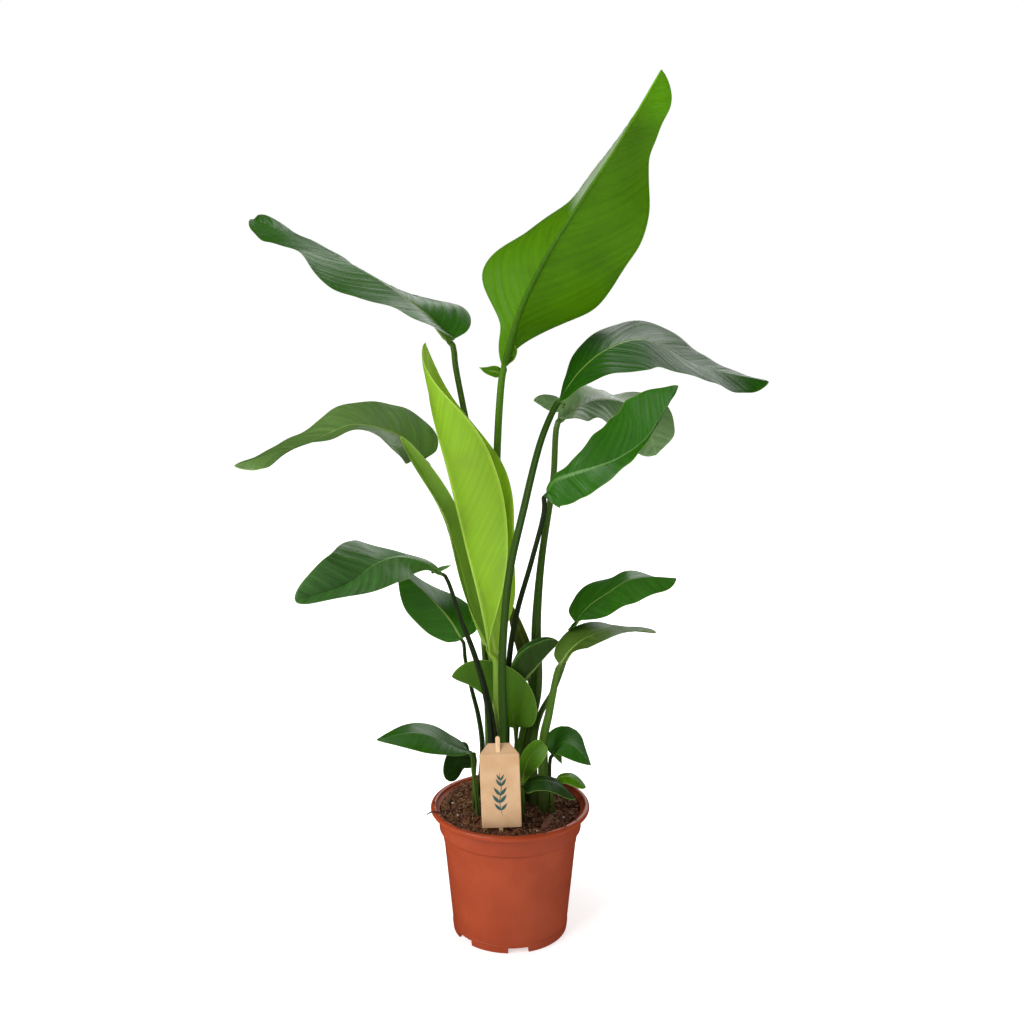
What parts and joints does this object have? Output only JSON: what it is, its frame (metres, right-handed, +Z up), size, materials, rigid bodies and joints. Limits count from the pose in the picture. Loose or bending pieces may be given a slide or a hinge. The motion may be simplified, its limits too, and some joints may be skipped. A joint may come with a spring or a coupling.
{
  "type": "potted bird of paradise plant",
  "caption": "Young bird of paradise house plant with paddle leaves on long stalks, rooted in peat in a tapered plastic nursery pot, with a blank card tag on a wooden stick.",
  "frame": {"origin": "middle of the pot's foot, on the surface that the pot stands on", "axes": "+Z up, -Y the side that the tag faces"},
  "size_m": [0.5377, 0.2578, 0.8813],
  "materials": {
    "terracotta_plastic": "terracotta-coloured moulded plastic, satin",
    "peat": "dark fibrous peat, dull",
    "kraft_card": "plain kraft card, dull",
    "bare_wood": "bare light wood",
    "leaf_green": "dark green, leathery and semi-gloss",
    "young_leaf": "yellow-green, semi-gloss",
    "bright_leaf": "mid green, semi-gloss",
    "old_leaf": "olive, drying"
  },
  "bodies": {
    "root": {"pot": "terracotta_plastic", "soil": "peat", "tag": "kraft_card", "tag_stick": "bare_wood", "leaf_top": "bright_leaf", "leaf_upper_left": "leaf_green", "leaf_upper_right": "leaf_green", "leaf_behind_right": "leaf_green", "leaf_mid_right": "leaf_green", "leaf_mid_left": "leaf_green", "leaf_spear": "bright_leaf", "leaf_young": "young_leaf", "leaf_low_left": "leaf_green", "leaf_low_left_back": "leaf_green", "leaf_right_high": "leaf_green", "leaf_right_low": "leaf_green", "leaf_mid_fold": "leaf_green", "leaf_mid_front": "bright_leaf", "leaf_base_left": "leaf_green", "leaf_base_left_small": "leaf_green", "leaf_base_right": "leaf_green", "leaf_rim_right": "bright_leaf", "leaf_low_dark": "leaf_green", "leaf_small_bright": "bright_leaf", "sheath_olive": "old_leaf"}
  },
  "joints": []
}
